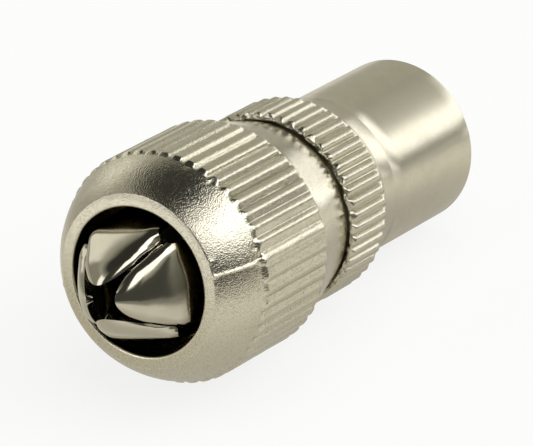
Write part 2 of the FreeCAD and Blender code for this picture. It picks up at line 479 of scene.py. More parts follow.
@dataclass(frozen=True)
class Spot:
    """A small round rise on a surface or, with a height below nought, a nick."""

    along: float
    turn: float
    height: float
    spread: float

    def lift_at(self, place: Vector) -> float:
        """Return how far the surface is raised at a place."""
        across = math.radians(turn_between(place, self.turn)) * radius_of(place)
        gap = ((place.x - self.along) ** 2 + across**2) / self.spread**2
        return self.height * math.exp(-gap) if gap < 9 else 0.0


class Part:
    """One piece of the plug: what it is called, where it belongs and how it becomes an object.

    sharp is the angle in degrees past which an edge is shaded sharp.
    """

    name: str
    node: str
    body: str
    finish: Finish
    sharp = 42.0

    def shape(self) -> bmesh.types.BMesh:
        """Return the piece's mesh in the plug's millimetres."""
        raise NotImplementedError

    def refine(self, made: bpy.types.Object) -> None:
        """Add the modifiers that finish the object, where it has any."""

    def build(self, placing: Placing) -> bpy.types.Object:
        """Build the piece.

        Args:
            placing: where the plug lies.

        Returns:
            The object, at the frame's origin, with its place in its mesh.
        """
        mesh = self.shape()
        bmesh.ops.transform(mesh, matrix=placing.matrix(), verts=mesh.verts)
        data = bpy.data.meshes.new(self.name)
        mesh.to_mesh(data)
        mesh.free()
        data.shade_smooth()
        data.set_sharp_from_angle(angle=math.radians(self.sharp))
        made = bpy.data.objects.new(self.name, data)
        bpy.context.scene.collection.objects.link(made)
        self.refine(made)
        return made


@dataclass
class ClampingCap(Part):
    """The cast clamping cap: nose, ridged grip, bevelled band, threaded bore and seat.

    The seam is the parting line of the mould, and a polish is how far the cast grain is rubbed
    smooth, from 0 to 1.
    """

    name = "clamping_cap_shell"
    node = "clamping_cap"
    body = "cap"
    finish = Finish.CAST

    mouth_radius: float = 4.15
    mouth_edge: float = 0.12
    face_radius: float = 4.88
    face_dish: float = 0.08
    nose_end: float = 2.43
    shoulder_radius: float = 6.33
    nose_curve: float = 6.0
    ridge_radius: float = 6.51
    ridge_front: float = 2.70
    ridge_back: float = 8.46
    knurl_end: float = 8.69
    band_radius: float = 6.33
    length: float = 12.64
    rim_radius: float = 5.19
    bore_radius: float = 4.80
    thread_crest: float = 4.59
    thread_margins: Pair = (0.4, 0.5)
    seat_radius: float = 4.58
    seat: float = 4.35
    thread_front: float = 5.5
    seam_turns: Pair = (71.25, 251.25)
    seam_height: float = 0.05
    seam_half_width: float = 0.04
    seam_end: Pair = (8.6, 9.6)
    seam_wave: Wave = Wave(0.5, 0.35, 7.0)
    waves: tuple[Wave, ...] = (Wave(0.010, 1.5), Wave(0.005, 0.5, 2.0))
    face_polish: float = 0.45
    grip_polish: float = 0.45
    band_polish: float = 0.4
    knurl: Knurl = field(
        default_factory=lambda: Knurl(
            count=48,
            top_radius=6.51,
            floor_radius=6.29,
            front=(2.36, 2.60),
            back=(8.42, 8.69),
            end_rise=(0.05, 0.07),
            floor_share=0.03,
            steep=42.0,
            columns=(-0.5, -0.45, -0.39, -0.33, -0.27, -0.22, -0.17, -0.10, 0.0, 0.12, 0.24, 0.36, 0.45),
            parting=71.25,
        )
    )
    spots: tuple[Spot, ...] = (
        Spot(0.05, 71.6, 0.09, 0.12),
        Spot(0.10, 62.0, 0.07, 0.13),
        Spot(0.02, 77.5, 0.05, 0.10),
        Spot(2.50, 69.6, -0.20, 0.15),
        Spot(2.36, 72.0, 0.07, 0.12),
        Spot(2.44, 63.9, -0.07, 0.14),
        Spot(2.44, 11.0, -0.05, 0.16),
        Spot(2.42, 26.0, -0.06, 0.14),
    )

    def outline(self) -> list[Vector]:
        """Draw the cap's wall, from the mouth out over the grip and back inside.

        Returns:
            The outline as (place, radius).
        """
        face = Corner(self.face_dish, self.face_radius, 0.14, 5)
        shoulder = Corner(self.nose_end, self.shoulder_radius, 0.05, 3)
        front = Corner(self.ridge_front, self.ridge_radius, 0.30, 6)
        back = Corner(self.ridge_back, self.ridge_radius, 0.22, 5)
        band = Corner(self.knurl_end, self.band_radius, 0.12, 3)
        rim = Corner(self.length, self.rim_radius, 0.13, 4)
        corners = [Corner(0.0, self.mouth_radius, 0.13, 4), face]
        corners += arc_corners(face, shoulder, self.nose_curve, 16)
        corners += [shoulder, front, *straight_corners(front, back, 9), back, band]
        corners += [*straight_corners(band, rim, 10), rim]
        corners += [
            Corner(self.length, self.bore_radius + 0.10, 0.04, 2),
            Corner(self.length - 0.14, self.bore_radius),
            Corner(self.thread_front, self.bore_radius),
            Corner(self.thread_front, self.seat_radius),
            Corner(self.seat, self.seat_radius),
            Corner(self.seat, self.mouth_radius, 0.06, 2),
        ]
        corners += straight_corners(corners[-1], corners[0], 5)
        return rounded(corners)

    def seam_lift(self, place: Vector) -> float:
        """Work out the height of the mould's parting line.

        Args:
            place: a place on the cap's outside.

        Returns:
            The height, which is 0 away from the line.
        """
        for turn in self.seam_turns:
            if abs(math.radians(turn_between(place, turn)) * radius_of(place)) < self.seam_half_width:
                fade = 1 - smooth_step(place.x, *self.seam_end)
                return self.seam_height * fade * (1 + self.seam_wave.lift_at(place))
        return 0.0

    def polish_at(self, place: Vector) -> float:
        """Work out how far the cast grain is rubbed smooth: most on the band and least on the nose.

        Args:
            place: a place on the cap.

        Returns:
            The polish, from 0 to 1.
        """
        if radius_of(place) < self.face_radius - 0.04:
            return self.face_polish
        grip = self.grip_polish * smooth_step(place.x, self.nose_end - 0.1, self.nose_end + 0.2)
        return grip + self.band_polish * smooth_step(place.x, self.ridge_back, self.knurl_end)

    def is_outside(self, place: Vector) -> bool:
        """Tell whether a place is on the cap's outside, and not in its mouth or bore."""
        radius = radius_of(place)
        return radius > self.rim_radius or (place.x < 0.5 and radius > self.face_radius - 0.08)

    def weather(self, mesh: bmesh.types.BMesh) -> None:
        """Add the unevenness of the casting: waves, the parting line, rises and nicks.

        Args:
            mesh: the cap's mesh.
        """
        for vert in mesh.verts:
            if self.is_outside(vert.co):
                waves = sum(wave.lift_at(vert.co) for wave in self.waves)
                marks = sum(spot.lift_at(vert.co) for spot in self.spots)
                set_radius(vert, radius_of(vert.co) + waves + marks + self.seam_lift(vert.co))

    def shape(self) -> bmesh.types.BMesh:
        """Shape the cap.

        Returns:
            The cap's mesh, in the plug's millimetres.
        """
        mesh = self.knurl.cut(self.outline())
        hollow, polish = (mesh.verts.layers.float[name] for name in ("hollow", "polish"))
        for vert in mesh.verts:
            vert[polish] = self.polish_at(vert.co)
            # painted shade: the cap's inside past the mouth's edge gets full hollow, which the material
            # darkens as if in shadow
            if radius_of(vert.co) < self.rim_radius - 0.05 and vert.co.x > self.mouth_edge:
                vert[hollow] = max(vert[hollow], float(not self.is_outside(vert.co)))
        self.weather(mesh)
        ends = (self.thread_front + self.thread_margins[0], self.length - self.thread_margins[1])
        Thread(*ends, self.bore_radius, self.thread_crest).add_to(mesh)
        return mesh


@dataclass
class CableClaw(Part):
    """The pressed cable claw: a flanged sleeve slit into four fingers that lean in as petals.

    A petal is part of a dome, crowned less at its fold than at its tip. bowing is how far its edges
    swell past a straight taper, and roll_depth how far they curl under, most of all at the tip.
    inside_shade is how strongly shade is painted on the claw's inside, growing from one place along the plug
    to another.
    """

    name = "cable_claw_sheet"
    node = "cable_claw"
    body = "claw"
    finish = Finish.PRESSED
    sharp = 180.0
    FINGERS = 4

    sheet: float = 0.45
    sleeve_radius: float = 3.8
    flange_radius: float = 4.4
    flange_front: float = 4.43
    flange_bend: float = 0.16
    slot_end: float = 3.6
    slot_round: float = 0.12
    reach: float = 3.65
    bend_start: float = 1.7
    fold_place: float = -0.45
    fold_half_span: float = 35.5
    petal_half_span: float = 44.2
    petal_opening: float = 1.2
    dome_radius: float = 11.0
    crowning: Pair = (0.45, 0.70)
    crown_end: float = 0.6
    bowing: float = 0.40
    bowing_blend: float = 0.15
    turn: float = -16.0
    across: int = 30
    fold_rows: int = 8
    petal_rows: int = 28
    edge_round: float = 0.20
    roll_depth: float = 0.26
    roll_width: float = 0.62
    roll_blend: float = 0.4
    fold_roll: float = 0.35
    full_roll: float = 0.45
    tip_roll: float = 0.35
    tip_start: float = 0.7
    # painted shade on the claw where it runs into the cap's mouth
    inside_shade: float = 1.3
    inside_shade_place: Pair = (-0.9, 0.6)

    def fold_radius(self) -> float:
        """Return how far from the axis the straight line lies that a finger is folded along."""
        return self.sleeve_radius * math.cos(math.radians(self.fold_half_span))

    def fold_half_width(self) -> float:
        """Return half the width of a finger where it is folded."""
        return self.sleeve_radius * math.sin(math.radians(self.fold_half_span))

    def leans(self) -> tuple[float, float]:
        """Work out how far a petal's middle leans in from the axis.

        Returns:
            The lean at the petal's fold and at its tip, in radians.
        """
        run = self.fold_place + self.reach
        drop = self.fold_radius() - self.petal_opening
        middle = math.atan2(drop, run)
        half = math.asin(math.hypot(drop, run) / 2 / self.dome_radius)
        return middle - half, middle + half

    def lean_at(self, radius: float) -> float:
        """Return how far a petal leans in from the axis at a distance from it, in radians."""
        at_fold = math.cos(self.leans()[0])
        return math.acos(min(at_fold - (self.fold_radius() - radius) / self.dome_radius, 1.0))

    def dome_place(self, radius: float) -> float:
        """Return the place along the axis of a petal's outer face at a distance from the axis."""
        return self.dome_radius * (math.sin(self.leans()[1]) - math.sin(self.lean_at(radius))) - self.reach

    def sleeve_rows(self) -> list[tuple[float, float, float]]:
        """List the rows of the flange and sleeve, from the flange forwards.

        Returns:
            The place, radius and half span in degrees of each row.
        """
        whole = 360 / self.FINGERS / 2
        half_span = self.fold_half_span
        rows = [(self.flange_front, self.flange_radius, whole)]
        inner = self.sleeve_radius + self.flange_bend
        for step in range(4):
            turn = math.radians(90 * step / 3)
            along = self.flange_front - self.flange_bend * (1 - math.cos(turn))
            rows.append((along, inner - self.flange_bend * math.sin(turn), whole))
        rows.append((self.slot_end + self.slot_round, self.sleeve_radius, whole))
        rows.append((self.slot_end, self.sleeve_radius, (whole + half_span) / 2))
        rows.append((self.slot_end - self.slot_round, self.sleeve_radius, half_span))
        for step in range(1, 4):
            along = self.slot_end + (self.bend_start - self.slot_end) * step / 3
            rows.append((along, self.sleeve_radius, half_span))
        return rows

    def sleeve_place(self, row: tuple[float, float, float], side: float) -> Vector:
        """Where a point of the flange or sleeve lies, for the finger that stands straight up."""
        along, radius, half_span = row
        turn = math.radians(half_span * side)
        return Vector((along, -radius * math.sin(turn), radius * math.cos(turn)))

    def fold_point(self, share: float, side: float) -> Vector:
        """Where a point of the bend between the round sleeve and the straight fold lies.

        Args:
            share: 0 at the sleeve to 1 at the fold.
            side: -1 at one edge of the finger to 1 at the other.

        Returns:
            The point on the finger's outer face.
        """
        start = self.sleeve_place((self.bend_start, self.sleeve_radius, self.fold_half_span), side)
        flat = Vector((self.fold_half_width() * side, self.fold_radius()))
        radius = math.hypot(flat.x * self.crowning[0], flat.y)
        finish = Vector((self.dome_place(radius), -flat.x, flat.y))
        lean = self.lean_at(radius)
        length = self.bend_start - self.fold_place
        out = Vector((-length, 0.0, 0.0))
        into = Vector((-length * math.cos(lean), 0.0, -length * math.sin(lean)))
        square, cube = share * share, share**3
        placed = start * (2 * cube - 3 * square + 1) + out * (cube - 2 * square + share)
        placed += finish * (3 * square - 2 * cube) + into * (cube - square)
        from_side = (1 - abs(side)) * self.fold_half_width()
        return self.rolled(placed, lean * share, from_side, self.fold_roll * share)

    def rolled(self, place: Vector, lean: float, from_edge: float, share: float) -> Vector:
        """Sink a point inwards where it is near the rolled edge of its finger.

        Args:
            place: the point on the unrolled sheet.
            lean: how far the sheet leans in there, in radians.
            from_edge: how far the point is from the finger's edge.
            share: how much of the full roll there is.

        Returns:
            The point.
        """
        grown = 1 + self.tip_roll * smooth_step(share, self.tip_start, 1.0)
        inside = min(from_edge / self.roll_width / grown, 1.0)
        sunk = self.roll_depth * (1 - inside) ** 2 * share * grown
        inwards = 1 - sunk * math.cos(lean) / radius_of(place)
        return Vector((place.x + sunk * math.sin(lean), place.y * inwards, place.z * inwards))

    def petal_place(self, share: float, side: float) -> Vector:
        """Where a point of a petal lies.

        Args:
            share: 0 at the petal's straight fold to 1 at its rounded tip.
            side: -1 at one edge of the petal to 1 at the other.

        Returns:
            The point on the petal's outer face, for a petal that stands straight up.
        """
        sine = math.sin(math.radians(self.petal_half_span))
        curve = self.petal_opening * sine / (1 - sine)
        tip_half = math.radians(90 - self.petal_half_span)
        fold = Vector((self.fold_half_width() * side, self.fold_radius()))
        from_middle = Vector((math.sin(tip_half * side), -math.cos(tip_half * side)))
        tip = Vector((0.0, self.petal_opening + curve)) + from_middle * curve
        flat = fold.lerp(tip, share)
        half_width = self.fold_half_width() * (1 - share) + math.sin(tip_half) * curve * share
        bowed = half_width + self.bowing * (4 * share * (1 - share)) ** 2
        widest = flat.y * math.tan(math.radians(self.petal_half_span))
        flat.x *= soft_min(bowed, max(widest, half_width), self.bowing_blend) / half_width
        flattest, roundest = self.crowning
        crowned = flattest + (roundest - flattest) * smooth_step(share, 0.0, self.crown_end)
        radius = math.hypot(flat.x * crowned, flat.y)
        from_side = (1 - abs(side)) * half_width
        from_edge = soft_min(from_side, (1 - share) * (fold - tip).length, self.roll_blend)
        grown = self.fold_roll + (1 - self.fold_roll) * smooth_step(share, 0.0, self.full_roll)
        placed = Vector((self.dome_place(radius), -flat.x, flat.y))
        return self.rolled(placed, self.lean_at(radius), from_edge, grown)

    def finger_place(self, row: int, side: float, rows: list[tuple[float, float, float]]) -> Vector:
        """Where a point of the upright finger lies.

        Args:
            row: the point's row, counted from the flange to the petal's tip.
            side: -1 at one edge of the finger to 1 at the other.
            rows: the rows of the flange and sleeve.

        Returns:
            The point on the finger's outer face.
        """
        past = row - len(rows) + 1
        if past <= 0:
            return self.sleeve_place(rows[row], side)
        if past <= self.fold_rows:
            return self.fold_point(past / self.fold_rows, side)
        return self.petal_place((past - self.fold_rows) / self.petal_rows, side)

    def shape(self) -> bmesh.types.BMesh:
        """Shape one finger and turn copies of it into the whole claw.

        Returns:
            The mesh of the claw's outer face, in the plug's millimetres.
        """
        rows = self.sleeve_rows()
        total = len(rows) - 1 + self.fold_rows + self.petal_rows
        mesh = bmesh.new()
        bmesh.ops.create_grid(mesh, x_segments=self.across, y_segments=total, size=1.0)
        for vert in mesh.verts:
            vert.co = self.finger_place(round((vert.co.y + 1) / 2 * total), vert.co.x, rows)
        finger = mesh.verts[:] + mesh.edges[:] + mesh.faces[:]
        swing(mesh, finger, FULL_TURN * (self.FINGERS - 1) / self.FINGERS, self.FINGERS - 1, copies=True)
        bmesh.ops.remove_doubles(mesh, verts=mesh.verts, dist=1e-4)
        turning = Matrix.Rotation(math.radians(self.turn), 3, "X")
        bmesh.ops.rotate(mesh, cent=ORIGIN, matrix=turning, verts=mesh.verts)
        mesh.normal_update()
        outward = sum(face.normal.y * face.calc_center_median().y for face in mesh.faces)
        if outward < 0:
            bmesh.ops.reverse_faces(mesh, faces=mesh.faces)
        hollow = mesh.verts.layers.float.new("hollow")
        # painted shade: darker from in front of the mouth to deep inside it
        for vert in mesh.verts:
            vert[hollow] = self.inside_shade * smooth_step(vert.co.x, *self.inside_shade_place)
        return mesh

    def refine(self, made: bpy.types.Object) -> None:
        """Give the sheet its thickness inwards and round its cut edges.

        Args:
            made: the claw's object.
        """
        wall = made.modifiers.new("sheet_thickness", "SOLIDIFY")
        wall.thickness = self.sheet * MM
        wall.offset = -1
        wall.use_even_offset = False
        edge = made.modifiers.new("rounded_edge", "BEVEL")
        edge.width = self.edge_round * MM
        edge.segments = 4
        edge.limit_method = "ANGLE"
        edge.angle_limit = math.radians(50)
        smooth = made.modifiers.new("smooth", "SUBSURF")
        smooth.levels = 1
        smooth.render_levels = 1


@dataclass
class PlugBody(Part):
    """The turned body: threaded spigot, ridged ring, bevelled shoulder and hollow barrel.

    tearing and curling are how unevenly the burrs on the ring's front edge stand forward and
    outward, in shares of their height.
    """

    name = "barrel_body_shell"
    node = "barrel_body"
    body = "plug"
    finish = Finish.TURNED

    spigot_front: float = 5.28
    spigot_bore: float = 3.6
    thread_root: float = 4.28
    thread_crest: float = 4.5
    thread_margin: float = 0.5
    ring_front: float = 12.94
    ring_back: float = 16.25
    ring_radius: float = 5.68
    ring_floor: float = 5.44
    ring_bevel: float = 0.38
    shoulder_end: float = 17.1
    collar_radius: float = 4.92
    barrel_start: float = 17.2
    barrel_radius: float = 4.745
    barrel_bore: float = 4.25
    barrel_end: float = 26.785
    insulator_seat: float = 15.485
    barrel_step: float = 18.38
    step_height: float = 0.02
    slope: float = 0.09
    slope_radius: float = 5.48
    turned_polish: float = 0.85
    burr: float = 0.19
    burr_start: float = 5.23
    burr_rise: float = 0.08
    burr_reach: float = 0.24
    burr_mean: float = 0.9
    burr_droop: float = 0.1
    burr_limits: Pair = (0.2, 1.45)
    tearing: tuple[Wave, ...] = (Wave(0.6, 0.30, 4.0), Wave(0.9, 0.60, 8.0))
    curling: Wave = Wave(0.3, 0.3, 11.0)
    knurl: Knurl = field(
        default_factory=lambda: Knurl(
            count=48,
            top_radius=5.68,
            floor_radius=5.44,
            front=(12.8, 12.85),
            back=(16.05, 16.30),
            end_rise=(0.0, 0.05),
            floor_share=0.10,
            steep=31.0,
            columns=(-0.5, -0.45, -0.40, -0.35, -0.29, -0.20, 0.0, 0.20, 0.29, 0.35, 0.40, 0.45),
            rounding=0.09,
            soiling=0.25,
            crown=1.1,
        )
    )

    def outline(self) -> list[Vector]:
        """Draw the body's wall, from the spigot out over the ring and back inside.

        Returns:
            The outline as (place, radius).
        """
        ring_start = Corner(self.ring_front + self.slope, self.ring_radius, 0.07, 3)
        ring_end = Corner(self.ring_back - self.ring_bevel, self.ring_radius, 0.30, 5)
        shoulder = Corner(self.ring_back + 0.02, self.ring_floor, 0.05, 2)
        collar = Corner(self.shoulder_end, self.collar_radius, 0.05, 3)
        collar_foot = Corner(self.barrel_start, self.barrel_radius + self.step_height, 0.03, 2)
        step = Corner(self.barrel_step, self.barrel_radius + self.step_height, 0.02, 2)
        barrel = Corner(self.barrel_step + 0.05, self.barrel_radius)
        rim = Corner(self.barrel_end, self.barrel_radius, 0.19, 6)
        mouth = Corner(self.barrel_end, self.barrel_bore, 0.10, 3)
        seat = Corner(self.insulator_seat, self.barrel_bore)
        corners = [
            Corner(self.spigot_front, self.spigot_bore, 0.06, 2),
            Corner(self.spigot_front, self.thread_root, 0.08, 2),
            Corner(self.ring_front, self.thread_root),
        ]
        lip = Corner(self.ring_front, self.burr_start)
        slope_foot = Corner(self.ring_front, self.slope_radius)
        corners += [*straight_corners(corners[-1], lip, 6), lip]
        corners += [*straight_corners(lip, slope_foot, 6), slope_foot]
        corners += straight_corners(slope_foot, ring_start, 4)
        corners += [ring_start, *straight_corners(ring_start, ring_end, 8), ring_end]
        corners += [shoulder, *straight_corners(shoulder, collar, 4), collar, collar_foot, step, barrel]
        corners += [*straight_corners(barrel, rim, 8), rim, mouth, *straight_corners(mouth, seat, 6), seat]
        corners.append(Corner(self.insulator_seat, self.spigot_bore, 0.05, 2))
        return rounded(corners)

    def fray(self, mesh: bmesh.types.BMesh) -> None:
        """Raise the torn burrs that knurling leaves along the ring's front edge.

        Args:
            mesh: the body's mesh.
        """
        for vert in mesh.verts:
            radius = radius_of(vert.co)
            behind = vert.co.x - self.ring_front
            if radius < self.burr_start or not -0.01 < behind < self.burr_reach:
                continue
            fade = smooth_step(radius, self.burr_start, self.burr_start + self.burr_rise)
            fade *= 1 - smooth_step(behind, 0.0, self.burr_reach)
            torn = sum((wave.lift_at(vert.co) for wave in self.tearing), self.burr_mean)
            torn = min(max(torn, self.burr_limits[0]), self.burr_limits[1])
            vert.co.x -= self.burr * fade * torn
            curl = self.curling.lift_at(vert.co) - self.burr_droop
            set_radius(vert, radius + self.burr * fade * curl)

    def shape(self) -> bmesh.types.BMesh:
        """Shape the body.

        Returns:
            The body's mesh, in the plug's millimetres.
        """
        mesh = self.knurl.cut(self.outline())
        polish = mesh.verts.layers.float["polish"]
        for vert in mesh.verts:
            on_ring = smooth_step(radius_of(vert.co), self.collar_radius + 0.02, self.ring_floor - 0.1)
            vert[polish] = self.turned_polish * (1 - on_ring)
        self.fray(mesh)
        ends = (self.spigot_front + self.thread_margin, self.ring_front - self.thread_margin)
        Thread(*ends, self.thread_root, self.thread_crest).add_to(mesh)
        return mesh


@dataclass
class Insulator(Part):
    """The moulded insulator: a stepped bush with a hub round the pin."""

    name = "insulator_bush"
    node = "insulator"
    body = "plug"
    finish = Finish.MOULDED

    back: float = 12.185
    seat: float = 15.485
    front: float = 18.185
    hub_front: float = 18.685
    inner_radius: float = 1.5
    neck_radius: float = 3.6
    flange_radius: float = 4.25
    lip_width: float = 0.75
    hub_radius: float = 2.1
    recess: float = 0.12

    def shape(self) -> bmesh.types.BMesh:
        """Shape the insulator.

        Returns:
            The insulator's mesh, in the plug's millimetres.
        """
        lip_radius = self.flange_radius - self.lip_width
        corners = [
            Corner(self.back, self.inner_radius),
            Corner(self.back, self.neck_radius, 0.20, 3),
            Corner(self.seat, self.neck_radius),
            Corner(self.seat, self.flange_radius),
            Corner(self.front, self.flange_radius, 0.15, 4),
            Corner(self.front, lip_radius, 0.05, 2),
            Corner(self.front - self.recess, lip_radius - 0.15, 0.05, 2),
            Corner(self.front - self.recess, self.hub_radius, 0.12, 3),
            Corner(self.hub_front, self.hub_radius, 0.12, 4),
            Corner(self.hub_front, self.inner_radius),
        ]
        return spun(rounded(corners), 8, 16)


@dataclass
class CentrePin(Part):
    """The centre pin: rounded nose, shank and hollow tail."""

    name = "centre_pin_rod"
    node = "centre_pin"
    body = "plug"
    finish = Finish.BRIGHT

    back: float = 9.585
    tail_end: float = 12.185
    shank_end: float = 18.685
    nose_start: float = 28.785
    end: float = 30.285
    tail_radius: float = 1.65
    shank_radius: float = 1.5
    pin_radius: float = 1.2
    hole_radius: float = 0.6
    hole_end: float = 23.585
    tip_radius: float = 0.35
    nose_curve: float = 2.2

    def shape(self) -> bmesh.types.BMesh:
        """Shape the pin.

        Returns:
            The pin's mesh, in the plug's millimetres.
        """
        nose = Corner(self.nose_start, self.pin_radius)
        tip = Corner(self.end, self.tip_radius, 0.10, 3)
        corners = [
            Corner(self.hole_end, 0.0),
            Corner(self.hole_end, self.hole_radius),
            Corner(self.back, self.hole_radius, 0.12, 3),
            Corner(self.back, self.tail_radius, 0.15, 3),
            Corner(self.tail_end, self.tail_radius, 0.06, 2),
            Corner(self.tail_end, self.shank_radius),
            Corner(self.shank_end, self.shank_radius, 0.05, 2),
            Corner(self.shank_end, self.pin_radius),
            nose,
            *arc_corners(nose, tip, self.nose_curve, 10),
            tip,
            Corner(self.end, 0.0),
        ]
        return spun(rounded(corners), 6, 16, is_open=True)


class Graph:
    """The nodes of one material, world or group, with short calls to add and link them."""

    def __init__(self, tree: bpy.types.NodeTree) -> None:
        """Start on an empty node tree."""
        self.tree = tree
        tree.nodes.clear()

    def add(self, kind: str, inputs: dict | None = None, **settings: object) -> bpy.types.Node:
        """Add a node.

        Args:
            kind: the node's type name.
            inputs: a value or an output socket for each named or numbered input.
            settings: the node's own properties.

        Returns:
            The node.
        """
        node = self.tree.nodes.new(kind)
        for name, setting in settings.items():
            setattr(node, name, setting)
        for name, given in (inputs or {}).items():
            if isinstance(given, bpy.types.NodeSocket):
                self.tree.links.new(given, node.inputs[name])
            else:
                node.inputs[name].default_value = given
        return node

    def group(self, tree: bpy.types.NodeTree, inputs: dict) -> Sockets:
        """Add a node group and return its outputs."""
        return self.add("ShaderNodeGroup", inputs, node_tree=tree).outputs

    def math(self, operation: str, first: object, second: object) -> bpy.types.NodeSocket:
        """Return the result of a Math node."""
        return self.add("ShaderNodeMath", {0: first, 1: second}, operation=operation).outputs[0]

    def mix(self, share: object, under: object, over: object) -> bpy.types.NodeSocket:
        """Return a colour with another laid over a share of it."""
        return self.add("ShaderNodeMix", {0: share, 6: under, 7: over}, data_type="RGBA").outputs[2]

    def noise(self, vector: bpy.types.NodeSocket, scale: object, detail: float) -> bpy.types.NodeSocket:
        """Return the value of a Noise Texture node."""
        inputs = {"Vector": vector, "Scale": scale, "Detail": detail, "Roughness": 0.55}
        return self.add("ShaderNodeTexNoise", inputs).outputs["Fac"]

    def spread(self, value: bpy.types.NodeSocket, low: float, high: float) -> bpy.types.NodeSocket:
        """Return a 0 to 1 value stretched to run from low to high."""
        inputs = {"Value": value, "To Min": low, "To Max": high}
        return self.add("ShaderNodeMapRange", inputs).outputs["Result"]

    def fade(self, value: bpy.types.NodeSocket, near: float, far: float) -> bpy.types.NodeSocket:
        """Return 1 where a value is below near, fading smoothly to 0 where it is above far."""
        inputs = {"Value": value, "From Min": near, "From Max": far, "To Min": 1.0, "To Max": 0.0}
        return self.add("ShaderNodeMapRange", inputs, interpolation_type="SMOOTHSTEP").outputs["Result"]


def plug_coordinates(graph: Graph, placing: Placing) -> bpy.types.NodeSocket:
    """Turn object coordinates into the plug's own millimetres with a Mapping node.

    Args:
        graph: the nodes to add to.
        placing: where the plug lies.

    Returns:
        The coordinates.
    """
    back = placing.back()
    inputs = {
        "Vector": graph.add("ShaderNodeTexCoord").outputs["Object"],
        "Location": back.to_translation(),
        "Rotation": back.to_euler(),
        "Scale": back.to_scale(),
    }
    return graph.add("ShaderNodeMapping", inputs, vector_type="POINT").outputs["Vector"]


class Effects:
    """The shader node groups that several finishes share."""

    BROAD_SCALE = 0.35
    BROAD_SHARE = 0.15
    PATCHES_PER_MM = 0.9
    PIT_LEVEL = 0.575
    HOLLOW_SHARE = 0.75
    MOTTLE = (-0.08, 0.22)

    def __init__(self) -> None:
        """Build each group once."""
        self.grain = self.make_grain()
        self.turning = self.make_turning()
        self.shade_and_tarnish = self.make_shade_and_tarnish()

    @staticmethod
    def start(name: str, takes: dict[str, str], gives: dict[str, str]) -> tuple[Graph, Sockets]:
        """Start a node group.

        Args:
            name: the group's name.
            takes: the kind of each input by name: Vector, Float or Color.
            gives: the kind of each output by name.

        Returns:
            The group's nodes, and what its inputs give to them.
        """
        tree = bpy.data.node_groups.new(name, "ShaderNodeTree")
        for names, way in ((takes, "INPUT"), (gives, "OUTPUT")):
            for label, kind in names.items():
                tree.interface.new_socket(name=label, in_out=way, socket_type=f"NodeSocket{kind}")
        graph = Graph(tree)
        return graph, graph.add("NodeGroupInput").outputs

    def make_grain(self) -> bpy.types.NodeTree:
        """Make the fine uneven skin of plated metal.

        Returns:
            The group, which gives the skin's height in millimetres.
        """
        takes = {"Vector": "Vector", "Per mm": "Float", "Depth": "Float"}
        gives = {"Height": "Float", "Patches": "Float", "Pits": "Float"}
        graph, given = self.start("metal_grain", takes, gives)
        fine = graph.noise(given["Vector"], given["Per mm"], 1.0)
        broad_scale = graph.math("MULTIPLY", given["Per mm"], self.BROAD_SCALE)
        broad = graph.noise(given["Vector"], broad_scale, 1.0)
        patches = graph.noise(given["Vector"], self.PATCHES_PER_MM, 4.0)
        both = graph.math("ADD", fine, graph.math("MULTIPLY", broad, self.BROAD_SHARE))
        height = graph.math("MULTIPLY", both, given["Depth"])
        pits = graph.math("SUBTRACT", self.PIT_LEVEL, both)
        graph.add("NodeGroupOutput", {"Height": height, "Patches": patches, "Pits": pits})
        return graph.tree

    def make_turning(self) -> bpy.types.NodeTree:
        """Make the fine rings that a lathe tool leaves.

        Returns:
            The group, which gives the rings' height in millimetres.
        """
        takes = {"Vector": "Vector", "Per mm": "Float", "Depth": "Float"}
        graph, given = self.start("turning_rings", takes, {"Height": "Float"})
        along = graph.add("ShaderNodeSeparateXYZ", {"Vector": given["Vector"]}).outputs["X"]
        placed = graph.add("ShaderNodeCombineXYZ", {"X": along}).outputs["Vector"]
        rings = graph.noise(placed, given["Per mm"], 4.0)
        graph.add("NodeGroupOutput", {"Height": graph.math("MULTIPLY", rings, given["Depth"])})
        return graph.tree

    def make_shade_and_tarnish(self) -> bpy.types.NodeTree:
        """Make the painted shade that darkens the hollows, and the tarnish that mottles the rest.

        Returns:
            The group, which gives the colour.
        """
        takes = {"Metal": "Color", "Shade_and_tarnish_tone": "Color", "Hollow": "Float", "Patches": "Float", "Pits": "Float"}
        graph, given = self.start("shade_and_tarnish", takes, {"Color": "Color"})
        mottle = graph.spread(given["Patches"], *self.MOTTLE)
        # painted shade from the hollow layer, with the tarnish mottle and the grain's pits laid on it
        share = graph.math("ADD", graph.math("MULTIPLY", given["Hollow"], self.HOLLOW_SHARE), mottle)
        share = graph.math("ADD", share, given["Pits"])
        graph.add("NodeGroupOutput", {"Color": graph.mix(share, given["Metal"], given["Shade_and_tarnish_tone"])})
        return graph.tree


